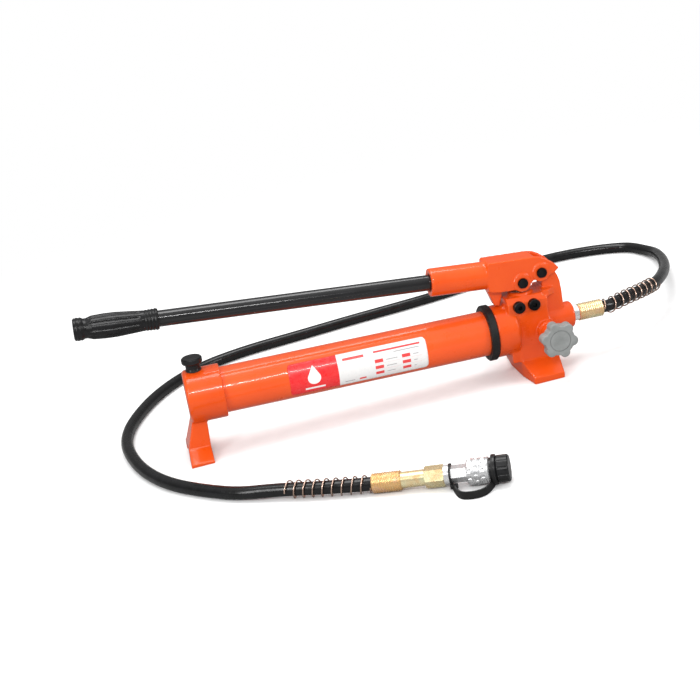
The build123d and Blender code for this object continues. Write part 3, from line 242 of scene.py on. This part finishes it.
def mixed(tree, factor, first, second):
    made = node(tree, "ShaderNodeMix", {"data_type": "RGBA"})
    for socket, value in ((made.inputs[0], factor), (made.inputs[6], first), (made.inputs[7], second)):
        if isinstance(value, bpy.types.NodeSocket):
            link(tree, value, socket)
        elif socket is made.inputs[0]:
            socket.default_value = value
        else:
            socket.default_value = (*value, 1.0)
    return made.outputs[2]


def bump(tree, height, distance, normal=None):
    made = node(tree, "ShaderNodeBump", Height=height, Distance=distance, Strength=1.0)
    if normal is not None:
        link(tree, normal, made.inputs["Normal"])
    return made.outputs[0]


def edge_share(tree, low, high):
    """0 on flat surfaces, 1 on sharp outer edges."""
    geometry = tree.nodes.new("ShaderNodeNewGeometry")
    return mapped(tree, geometry.outputs["Pointiness"], (low, high), (0.0, 1.0))


# ---------------------------------------------------------------- materials

def gloss_paint(name, colour, deep, peel, coat, roughness=0.3):
    """Sprayed enamel: slightly uneven colour, orange peel in the gloss, a painted highlight on sharp edges."""
    material, tree, shader = new_material(name)
    place = object_place(tree)
    patches = ramp(tree, noise(tree, place, 22.0, 4.0), (0.3, deep), (0.7, colour))
    # Painted highlight: sharp outer edges get a lighter copy of the paint colour.
    edge_highlight_colour = tuple(min(1.0, channel * 1.25 + 0.02) for channel in colour)
    link(tree, mixed(tree, math(tree, "MULTIPLY", edge_share(tree, 0.52, 0.6), 0.35), patches, edge_highlight_colour),
         shader.inputs["Base Color"])
    link(tree, between(tree, noise(tree, place, 60.0), roughness - 0.05, roughness + 0.08),
         shader.inputs["Roughness"])
    shader.inputs["Specular IOR Level"].default_value = 0.25
    shader.inputs["Coat Weight"].default_value = coat
    shader.inputs["Coat Roughness"].default_value = 0.04
    fine = bump(tree, noise(tree, place, 900.0, 2.0), peel * 0.3)
    waves = bump(tree, noise(tree, place, 260.0, 2.0), peel, normal=fine)
    link(tree, waves, shader.inputs["Normal"])
    link(tree, waves, shader.inputs["Coat Normal"])
    return material


def moulded(name, colour, deep, roughness, grain, grain_scale=1500.0, coat=0.0):
    """Moulded plastic or rubber with a fine grain and slightly uneven sheen."""
    material, tree, shader = new_material(name)
    place = object_place(tree)
    link(tree, ramp(tree, noise(tree, place, 90.0, 5.0), (0.35, deep), (0.65, colour)),
         shader.inputs["Base Color"])
    link(tree, between(tree, noise(tree, place, 140.0), roughness - 0.07, roughness + 0.1),
         shader.inputs["Roughness"])
    shader.inputs["Specular IOR Level"].default_value = 0.3
    shader.inputs["Coat Weight"].default_value = coat
    shader.inputs["Coat Roughness"].default_value = 0.12
    link(tree, bump(tree, noise(tree, place, grain_scale, 2.0), grain), shader.inputs["Normal"])
    return material


def machined(name, colour, dull, roughness, stain=None, metallic=1.0):
    """Turned or plated metal: fine tool marks, uneven plating and a few dull spots."""
    material, tree, shader = new_material(name)
    place = object_place(tree)
    tone = ramp(tree, noise(tree, place, 70.0, 4.0), (0.3, dull), (0.62, colour))
    if stain:
        tint = ramp(tree, noise(tree, stretched(tree, place, (1.0, 1.6, 1.0)), 55.0, 2.0),
                    (0.28, stain[0]), (0.44, stain[1]), (0.58, stain[2]), (0.76, stain[3]))
        facing = node(tree, "ShaderNodeLayerWeight", Blend=0.45).outputs["Facing"]
        tone = mixed(tree, between(tree, facing, 0.75, 0.35), tone, tint)
    link(tree, tone, shader.inputs["Base Color"])
    shader.inputs["Metallic"].default_value = metallic
    marks = noise(tree, place, 420.0, 2.0)
    link(tree, between(tree, marks, roughness - 0.03, roughness + 0.06), shader.inputs["Roughness"])
    link(tree, bump(tree, marks, 0.004 * MM), shader.inputs["Normal"])
    return material


def rectangle(tree, across, up, box):
    """1 inside the (left, right, bottom, top) box, 0 outside."""
    left, right, bottom, top = box
    wide = math(tree, "COMPARE", across, (left + right) / 2, (right - left) / 2)
    high = math(tree, "COMPARE", up, (bottom + top) / 2, (top - bottom) / 2)
    return math(tree, "MULTIPLY", wide, high)


def drop(tree, across, up, centre, radius):
    """1 inside a drop shape: a disc with a pointed roof twice as high as its radius."""
    to_left = math(tree, "SUBTRACT", across, centre[0])
    to_low = math(tree, "SUBTRACT", up, centre[1])
    squares = math(tree, "ADD", math(tree, "POWER", to_left, 2.0), math(tree, "POWER", to_low, 2.0))
    round_part = math(tree, "LESS_THAN", squares, radius ** 2)
    slope = math(tree, "MULTIPLY_ADD", math(tree, "ABSOLUTE", to_left), DROP_ROOF_SLOPE, to_low)
    under_roof = math(tree, "LESS_THAN", slope, 2.0 * radius)
    above_start = math(tree, "GREATER_THAN", to_low, DROP_ROOF_START * radius)
    roof = math(tree, "MULTIPLY", under_roof, above_start)
    return math(tree, "MAXIMUM", round_part, roof)


def label_film():
    """Glossy two-part label, drawn in millimetres: a red end with a drop over a bar, a white end with
    a plain chart of bars."""
    material, tree, shader = new_material("label_film")
    spot = node(tree, "ShaderNodeSeparateXYZ", i0=tree.nodes.new("ShaderNodeTexCoord").outputs["UV"])
    across = math(tree, "MULTIPLY", spot.outputs[0], LABEL_LENGTH)
    up = math(tree, "MULTIPLY", spot.outputs[1], LABEL_WIDTH)
    tone = mixed(tree, rectangle(tree, across, up, (-1.0, 64.0, -1.0, LABEL_WIDTH + 1.0)),
                 (0.83, 0.83, 0.82), (0.84, 0.014, 0.018))
    red, faint, grey = (0.80, 0.05, 0.05), (0.80, 0.55, 0.56), (0.42, 0.41, 0.42)
    marks = [((71.0, 99.0, 36.0, 39.5), red), ((112.0, 174.0, 38.0, 40.5), red),
             ((138.0, 172.0, 34.0, 35.6), grey), ((71.0, 84.0, 5.5, 7.0), grey),
             ((90.0, 99.0, 5.0, 8.0), red)]
    for column, wide in ((112.0, 34.0), (148.0, 26.0)):
        for row in range(3):
            low = 24.5 - 8.5 * row
            marks.append(((column, column + wide, low - 1.6, low - 1.2), faint))
            marks.append(((column, column + 11.0, low, low + 4.6), red))
            marks.append(((column + 15.0, column + wide - 4.0 - 2.0 * row, low + 1.6, low + 2.8), grey))
    for box, colour in marks:
        tone = mixed(tree, rectangle(tree, across, up, box), tone, colour)
    white = (0.93, 0.92, 0.90)
    tone = mixed(tree, drop(tree, across, up, (32.0, 22.5), 8.5), tone, white)
    tone = mixed(tree, rectangle(tree, across, up, (19.0, 45.0, 6.5, 9.5)), tone, white)
    place = object_place(tree)
    link(tree, mixed(tree, between(tree, noise(tree, place, 120.0), 0.0, 0.05), tone, (0.6, 0.5, 0.45)),
         shader.inputs["Base Color"])
    link(tree, between(tree, noise(tree, place, 200.0), 0.24, 0.34), shader.inputs["Roughness"])
    shader.inputs["Coat Weight"].default_value = 0.3
    link(tree, bump(tree, noise(tree, place, 180.0), 0.01 * MM), shader.inputs["Normal"])
    return material


def make_materials():
    pink, gold, green, amber = (0.84, 0.55, 0.42), (0.92, 0.80, 0.48), (0.80, 0.84, 0.52), (0.88, 0.56, 0.25)
    return {
        "orange_paint": gloss_paint("orange_paint", (0.76, 0.083, 0.005), (0.73, 0.069, 0.003), 0.06 * MM,
                                    coat=0.6),
        "black_paint": gloss_paint("black_paint", (0.007, 0.007, 0.008), (0.004, 0.004, 0.004), 0.03 * MM,
                                   coat=0.5, roughness=0.16),
        "black_grip": moulded("black_grip", (0.010, 0.010, 0.011), (0.006, 0.006, 0.006), 0.27, 0.03 * MM),
        "black_rubber": moulded("black_rubber", (0.013, 0.013, 0.013), (0.008, 0.008, 0.008), 0.45,
                                0.03 * MM),
        "black_plastic": moulded("black_plastic", (0.011, 0.011, 0.012), (0.006, 0.006, 0.006), 0.33,
                                 0.03 * MM, coat=0.15),
        "seal_rubber": moulded("seal_rubber", (0.03, 0.03, 0.03), (0.02, 0.02, 0.02), 0.55, 0.02 * MM),
        "hose_cover": moulded("hose_cover", (0.008, 0.008, 0.009), (0.005, 0.005, 0.005), 0.22, 0.04 * MM,
                              700.0, coat=0.2),
        "grey_knob": moulded("grey_knob", (0.27, 0.28, 0.275), (0.21, 0.22, 0.215), 0.42, 0.03 * MM),
        "black_oxide": machined("black_oxide", (0.035, 0.035, 0.038), (0.015, 0.015, 0.016), 0.36),
        "bright_steel": machined("bright_steel", (0.72, 0.72, 0.74), (0.55, 0.55, 0.57), 0.2),
        "hard_chrome": machined("hard_chrome", (0.86, 0.86, 0.88), (0.78, 0.78, 0.8), 0.12),
        "zinc_plate": machined("zinc_plate", (0.88, 0.88, 0.88), (0.68, 0.69, 0.70), 0.27,
                               metallic=SATIN_METALLIC),
        "yellow_zinc": machined("yellow_zinc", (0.92, 0.82, 0.55), (0.84, 0.70, 0.40), 0.24,
                                stain=(green, gold, amber, pink), metallic=SATIN_METALLIC),
        "copper_zinc": machined("copper_zinc", (0.90, 0.56, 0.24), (0.80, 0.44, 0.16), 0.27,
                                stain=(gold, amber, amber, pink), metallic=SATIN_METALLIC),
        "spring_wire": machined("spring_wire", (0.72, 0.52, 0.42), (0.52, 0.36, 0.28), 0.25),
        "bronze": machined("bronze", (0.60, 0.38, 0.16), (0.45, 0.27, 0.11), 0.3),
        "label_film": label_film(),
    }


# ---------------------------------------------------------------- mesh helpers

def centre_line(name, along):
    """Middles of a long CAD node's two end faces, in order along a direction."""
    corners = [vertex.co for vertex in frame["nodes"][name].data.vertices]
    stations = [corner.dot(along) for corner in corners]
    low, high = min(stations), max(stations)
    ends = []
    for limit in (low, high):
        near = [corner for corner, station in zip(corners, stations)
                if abs(station - limit) < END_FACE_DEPTH]
        ends.append(sum(near, Vector()) / len(near))
    return ends


def mesh_object(name, points, faces, material):
    mesh = bpy.data.meshes.new(name)
    mesh.from_pydata([tuple(point) for point in points], [], faces)
    mesh.materials.append(material)
    mesh.validate()
    for polygon in mesh.polygons:
        polygon.use_smooth = True
    made = bpy.data.objects.new(name, mesh)
    bpy.context.scene.collection.objects.link(made)
    return made


def turned_skin(name, start, end, stations, radius, material, segments):
    """Closed skin round the line from start to end, radius(station, angle) giving its distance."""
    along = (end - start).normalized()
    side = along.cross(Vector((0, 0, 1))).normalized()
    up = side.cross(along)
    points = []
    for station in stations:
        for number in range(segments):
            angle = 2 * pi * number / segments
            out = side * cos(angle) + up * sin(angle)
            points.append(start + along * station + out * radius(station, angle))
    faces = []
    for row in range(len(stations) - 1):
        for number in range(segments):
            after = (number + 1) % segments
            faces.append((row * segments + number, row * segments + after,
                          (row + 1) * segments + after, (row + 1) * segments + number))
    faces.append(tuple(reversed(range(segments))))
    faces.append(tuple(range((len(stations) - 1) * segments, len(stations) * segments)))
    return mesh_object(name, points, faces, material)


def even_steps(length, count):
    return [length * step / count for step in range(count + 1)]


def along_outline(outline, station):
    """Radius read from (station, radius) points, straight between them."""
    for (left, low), (right, high) in zip(outline, outline[1:]):
        if station <= right:
            return low + (high - low) * (station - left) / max(right - left, 1e-9)
    return outline[-1][1]


def smooth_step(value):
    value = max(0.0, min(1.0, value))
    return value * value * (3 - 2 * value)


def copied_piece(name, cad_node, material):
    """New piece with a copy of a CAD node's mesh and the given material."""
    mesh = frame["nodes"][cad_node].data.copy()
    mesh.materials.clear()
    mesh.materials.append(material)
    piece = bpy.data.objects.new(name, mesh)
    bpy.context.scene.collection.objects.link(piece)
    return piece


def stand_for(piece, cad_node, body):
    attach(piece, body)
    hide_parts(cad_node)


# ---------------------------------------------------------------- pieces

def soften_casting(name):
    """Rounds a casting's edges and inner corners as the mould and the paint do."""
    casting = frame["nodes"][name]
    remesh = casting.modifiers.new("cast_skin", "REMESH")
    remesh.mode = "VOXEL"
    remesh.voxel_size = CAST_VOXEL
    remesh.use_smooth_shade = True
    smooth = casting.modifiers.new("cast_edges", "SMOOTH")
    smooth.factor = 0.5
    smooth.iterations = CAST_SMOOTHING


def break_edges(name):
    """Small bevel on the sharp edges of a turned, milled or moulded piece."""
    bevel = frame["nodes"][name].modifiers.new("broken_edges", "BEVEL")
    bevel.width = EDGE_BREAK
    bevel.segments = 2
    bevel.limit_method = "ANGLE"
    bevel.angle_limit = EDGE_ANGLE
    bevel.harden_normals = True


def handle_grip(materials):
    """Moulded grip: ribs at both ends, long flutes round a swelling middle and a flared end."""
    start, end = centre_line("handle_grip", HANDLE_ALONG)
    length = (end - start).length

    def radius(station, angle):
        mm = station / MM
        out = along_outline(GRIP_OUTLINE, mm)
        for rib in GRIP_RIBS:
            crest = max(0.0, 1 - abs(mm - rib) / GRIP_RIB_HALF_WIDTH)
            valley = max(0.0, 1 - abs(mm - rib - GRIP_GROOVE_SHIFT))
            out += GRIP_RIB_HEIGHT * crest - GRIP_GROOVE_DEPTH * valley
        run_in = smooth_step((mm - GRIP_FLUTE_START) / GRIP_FLUTE_RUN_IN)
        fluted = run_in * smooth_step((GRIP_FLUTE_END - mm) / GRIP_FLUTE_RUN_OUT)
        out -= fluted * GRIP_FLUTE_DEPTH * (0.5 + 0.5 * cos(GRIP_FLUTES * angle)) ** 3
        return out * MM

    piece = turned_skin("grip_sleeve", start, end, even_steps(length, GRIP_RINGS), radius,
                        materials["black_grip"], GRIP_SEGMENTS)
    stand_for(piece, "handle_grip", "handle")


def crimped_ferrule(name, cad_node, along, material):
    """Ferrule with ridges along its length, pressed flat in eight rows by the crimping jaws."""
    start, end = centre_line(cad_node, along)
    length = (end - start).length

    def radius(station, angle):
        share = station / length
        edge = smooth_step(share / FERRULE_END_SHARE) * smooth_step((1 - share) / FERRULE_END_SHARE)
        ridge = 0.5 + 0.5 * cos(2 * pi * FERRULE_RIDGES * share)
        seam = max(0.0, cos(CRIMP_JAWS * angle)) ** 6
        ridge_depth = FERRULE_RIDGE_DEPTH * ridge * (1 - CRIMP_FLATTENING * seam)
        body = FERRULE_R - ridge_depth - CRIMP_DEPTH * (1 - seam)
        return (body - FERRULE_END_ROUNDING * (1 - edge)) * MM

    piece = turned_skin(name, start, end, even_steps(length, FERRULE_RINGS), radius, material,
                        FERRULE_SEGMENTS)
    stand_for(piece, cad_node, "frame")


def knurled_collar(materials):
    """Coupler collar: three bands, each cut with a ring of notches, and rounded ends."""
    start, end = centre_line("coupler_collar", COUPLER_ALONG)
    length = (end - start).length

    def radius(station, angle):
        share = station / length
        rear = COLLAR_REAR_ROUNDING * (1 - smooth_step(share / COLLAR_REAR_SHARE))
        front = COLLAR_FRONT_ROUNDING * (1 - smooth_step((1 - share) / COLLAR_FRONT_SHARE))
        out = COLLAR_R - (rear + front)
        for groove in COLLAR_GROOVES:
            out -= COLLAR_GROOVE_DEPTH * max(0.0, 1 - abs(share - groove) / COLLAR_GROOVE_HALF_WIDTH)
        for row, shift in COLLAR_NOTCH_ROWS:
            along_row = smooth_step((COLLAR_NOTCH_HALF_LENGTH - abs(share - row)) / COLLAR_NOTCH_END_SLOPE)
            across = cos(COLLAR_NOTCHES * angle + 2 * pi * shift)
            across_row = smooth_step((across - 0.1) / COLLAR_NOTCH_SIDE_SLOPE)
            out -= COLLAR_NOTCH_DEPTH * along_row * across_row
        return out * MM

    piece = turned_skin("collar_sleeve", start, end, even_steps(length, COLLAR_RINGS), radius,
                        materials["zinc_plate"], COLLAR_SEGMENTS)
    stand_for(piece, "coupler_collar", "collar")


def tank_label(materials):
    """Thin film wrapped round the front of the tube, its free corners rounded."""
    low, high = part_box("name_label")
    tube_low, tube_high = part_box("reservoir_tube")
    middle = (tube_low + tube_high) / 2
    tube_radius = (tube_high.y - tube_low.y) / 2
    left = low.x - middle.x
    right = high.x - middle.x
    film = tube_radius + LABEL_LIFT
    columns, rows = 96, 24
    points, places = [], []
    for column in range(columns + 1):
        share = column / columns
        station = left + (right - left) * share
        to_end = min(station - left, right - station)
        past_corner = max(0.0, LABEL_CORNER - to_end)
        inset = LABEL_CORNER - max(0.0, LABEL_CORNER ** 2 - past_corner ** 2) ** 0.5
        half = LABEL_HALF_ANGLE - inset / film
        for row in range(rows + 1):
            up = row / rows
            angle = LABEL_MIDDLE_ANGLE + half * (1 - 2 * up)
            out = Vector((0, -sin(angle), 0)) + TANK_UP * cos(angle)
            points.append(middle + TANK_ALONG * station + out * film)
            places.append((share, 0.5 + (up - 0.5) * half / LABEL_HALF_ANGLE))
    faces = []
    for column in range(columns):
        for row in range(rows):
            first = column * (rows + 1) + row
            faces.append((first, first + rows + 1, first + rows + 2, first + 1))
    piece = mesh_object("label_sheet", points, faces, materials["label_film"])
    layer = piece.data.uv_layers.new(name="UVMap")
    for loop in piece.data.loops:
        layer.data[loop.index].uv = places[loop.vertex_index]
    thick = piece.modifiers.new("film", "SOLIDIFY")
    thick.thickness = LABEL_THICKNESS
    thick.offset = -1
    stand_for(piece, "name_label", "frame")


def cap_tether(materials):
    """The strap between the coupler and the cap: a copy of the CAD tether with its placement baked into its mesh.
    """
    piece = copied_piece("tether_strap", "cap_tether", materials["black_rubber"])
    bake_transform(piece)
    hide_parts("cap_tether")


def pressed_spring(name, cad_node, materials):
    """Hidden spring: a copy of its CAD node on the frame, with a mesh of its own, standing in for the node."""
    piece = copied_piece(name, cad_node, materials["spring_wire"])
    stand_for(piece, cad_node, "frame")
    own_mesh(piece)


def paint_cad_nodes(materials):
    for entry in frame["record"]["subparts"]:
        cad = frame["nodes"][entry["node"]]
        cad.data.materials.clear()
        cad.data.materials.append(materials[entry["material_slot"]])


# ---------------------------------------------------------------- studio

def area_light(name, place, target, size, power):
    data = bpy.data.lights.new(name, "AREA")
    data.shape = "RECTANGLE"
    data.size, data.size_y = size
    data.energy = power
    lamp = bpy.data.objects.new(name, data)
    lamp.location = place
    lamp.rotation_euler = (Vector(target) - Vector(place)).to_track_quat("-Z", "Y").to_euler()
    bpy.context.scene.collection.objects.link(lamp)


def studio_floor():
    """Pale floor that fades out far from the pump; it looks darker in reflections than to the eye."""
    mesh = bpy.data.meshes.new("studio_floor")
    shape = bmesh.new()
    bmesh.ops.create_grid(shape, x_segments=8, y_segments=8, size=FLOOR_HALF_SIZE)
    shape.to_mesh(mesh)
    shape.free()
    floor = bpy.data.objects.new("studio_floor", mesh)
    bpy.context.scene.collection.objects.link(floor)
    material, tree, shader = new_material("studio_floor")
    place = object_place(tree)
    speck = noise(tree, place, 40.0)
    pale = ramp(tree, speck, (0.3, (0.90, 0.90, 0.90)), (0.7, (0.94, 0.94, 0.94)))
    path = tree.nodes.new("ShaderNodeLightPath").outputs
    unseen = math(tree, "SUBTRACT", 1.0, path["Is Camera Ray"])
    mirrored = mixed(tree, path["Is Glossy Ray"], (0.45, 0.45, 0.45), (0.28, 0.28, 0.28))
    link(tree, mixed(tree, unseen, pale, mirrored), shader.inputs["Base Color"])
    shader.inputs["Roughness"].default_value = 0.9
    shader.inputs["Specular IOR Level"].default_value = 0.05
    distance = node(tree, "ShaderNodeVectorMath", {"operation": "LENGTH"}, i0=place).outputs["Value"]
    fade = mapped(tree, distance, FLOOR_FADE, (1.0, 0.0), {"interpolation_type": "SMOOTHSTEP"})
    link(tree, fade, shader.inputs["Alpha"])
    mesh.materials.append(material)


def studio_world():
    """White to the eye, a soft grey sky for reflections, an even fill for the rest."""
    world = bpy.data.worlds.new("studio_world")
    world.use_nodes = True
    tree = world.node_tree
    background = tree.nodes["Background"]
    path = tree.nodes.new("ShaderNodeLightPath").outputs
    direction = tree.nodes.new("ShaderNodeTexCoord").outputs["Generated"]
    height = node(tree, "ShaderNodeSeparateXYZ", i0=direction).outputs[2]
    sky = ramp(tree, height, (0.0, (0.28, 0.28, 0.28)), (0.3, (0.18, 0.18, 0.18)), (0.7, (0.42, 0.42, 0.42)),
               (1.0, (0.90, 0.90, 0.90)))
    fill = mixed(tree, path["Is Glossy Ray"], (0.80, 0.80, 0.80), sky)
    link(tree, mixed(tree, path["Is Camera Ray"], fill, (1.0, 1.0, 1.0)), background.inputs["Color"])
    world.cycles.sampling_method = "NONE"
    bpy.context.scene.world = world


def studio():
    studio_floor()
    studio_world()
    for name, place, size, power in LIGHTS:
        area_light(name, place, STUDIO_MIDDLE, size, power)
    bpy.context.scene.view_settings.view_transform = "Standard"


def camera():
    data = bpy.data.cameras.new("camera")
    data.lens = CAMERA_LENS
    data.sensor_width = 36
    data.clip_start = 0.01
    eye = bpy.data.objects.new("camera", data)
    forward = Vector((-sin(CAMERA_AZIMUTH) * cos(CAMERA_ELEVATION),
                      cos(CAMERA_AZIMUTH) * cos(CAMERA_ELEVATION), -sin(CAMERA_ELEVATION)))
    level = Vector((cos(CAMERA_AZIMUTH), sin(CAMERA_AZIMUTH), 0))
    upright = level.cross(forward)
    right = level * cos(CAMERA_ROLL) + upright * sin(CAMERA_ROLL)
    up = upright * cos(CAMERA_ROLL) - level * sin(CAMERA_ROLL)
    turn = Matrix((right, up, -forward)).transposed().to_4x4()
    eye.matrix_world = Matrix.Translation(CAMERA_PLACE) @ turn
    bpy.context.scene.collection.objects.link(eye)
    bpy.context.scene.camera = eye


materials = make_materials()
paint_cad_nodes(materials)
for casting in CASTINGS:
    soften_casting(casting)
for sharp_piece in SHARP_PIECES:
    break_edges(sharp_piece)
handle_grip(materials)
crimped_ferrule("pump_ferrule_skin", "pump_ferrule", TANK_ALONG, materials["yellow_zinc"])
crimped_ferrule("coupler_ferrule_skin", "coupler_ferrule", COUPLER_ALONG, materials["copper_zinc"])
knurled_collar(materials)
tank_label(materials)
cap_tether(materials)
for piece_name, spring_node, joint_name in PRESSED_SPRINGS:
    pressed_spring(piece_name, spring_node, materials)
studio()
camera()
